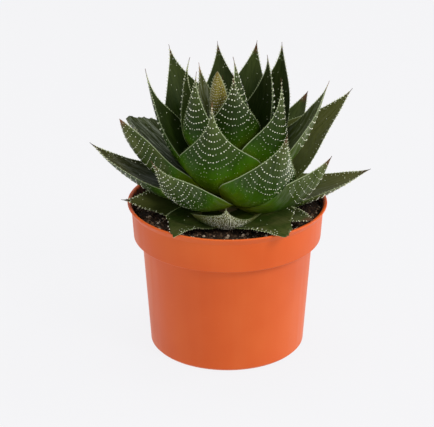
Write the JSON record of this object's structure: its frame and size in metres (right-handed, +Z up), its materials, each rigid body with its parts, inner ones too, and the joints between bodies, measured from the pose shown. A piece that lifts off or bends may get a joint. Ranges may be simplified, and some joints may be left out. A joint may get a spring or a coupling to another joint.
{
  "type": "potted aloe",
  "caption": "Potted aloe: a dense rosette of thick pointed leaves with rows of raised spots and toothed margins, in a squat moulded nursery pot.",
  "frame": {"origin": "centre of the flat underside of the pot, where it stands", "axes": "+Z up along the pot's axis; -Y towards the front, the side that the picture shows; +X to the viewer's right"},
  "size_m": [0.168, 0.144, 0.186],
  "materials": {
    "pot": "satin",
    "soil": "matte",
    "stem": "matte",
    "leaf": "satin",
    "young_leaf": "satin"
  },
  "bodies": {
    "root": {"leaf_ground_1": "leaf", "leaf_ground_2": "leaf", "leaf_ground_3": "leaf", "leaf_ground_4": "leaf", "leaf_ground_5": "leaf", "leaf_ground_6": "leaf", "leaf_ground_7": "leaf", "leaf_heart": "young_leaf", "leaf_inner_1": "leaf", "leaf_inner_2": "leaf", "leaf_inner_3": "leaf", "leaf_inner_4": "leaf", "leaf_inner_5": "leaf", "leaf_inner_6": "leaf", "leaf_inner_7": "leaf", "leaf_lower_1": "leaf", "leaf_lower_2": "leaf", "leaf_lower_3": "leaf", "leaf_lower_4": "leaf", "leaf_lower_5": "leaf", "leaf_lower_6": "leaf", "leaf_lower_7": "leaf", "leaf_middle_1": "leaf", "leaf_middle_2": "leaf", "leaf_middle_3": "leaf", "leaf_middle_4": "leaf", "leaf_middle_5": "leaf", "leaf_middle_6": "leaf", "leaf_middle_7": "leaf", "leaf_middle_8": "leaf", "leaf_upper_1": "leaf", "leaf_upper_2": "leaf", "leaf_upper_3": "leaf", "leaf_upper_4": "leaf", "leaf_upper_5": "leaf", "leaf_upper_6": "leaf", "leaf_upper_7": "leaf", "pot": "pot", "soil": "soil", "stem": "stem"}
  },
  "joints": []
}
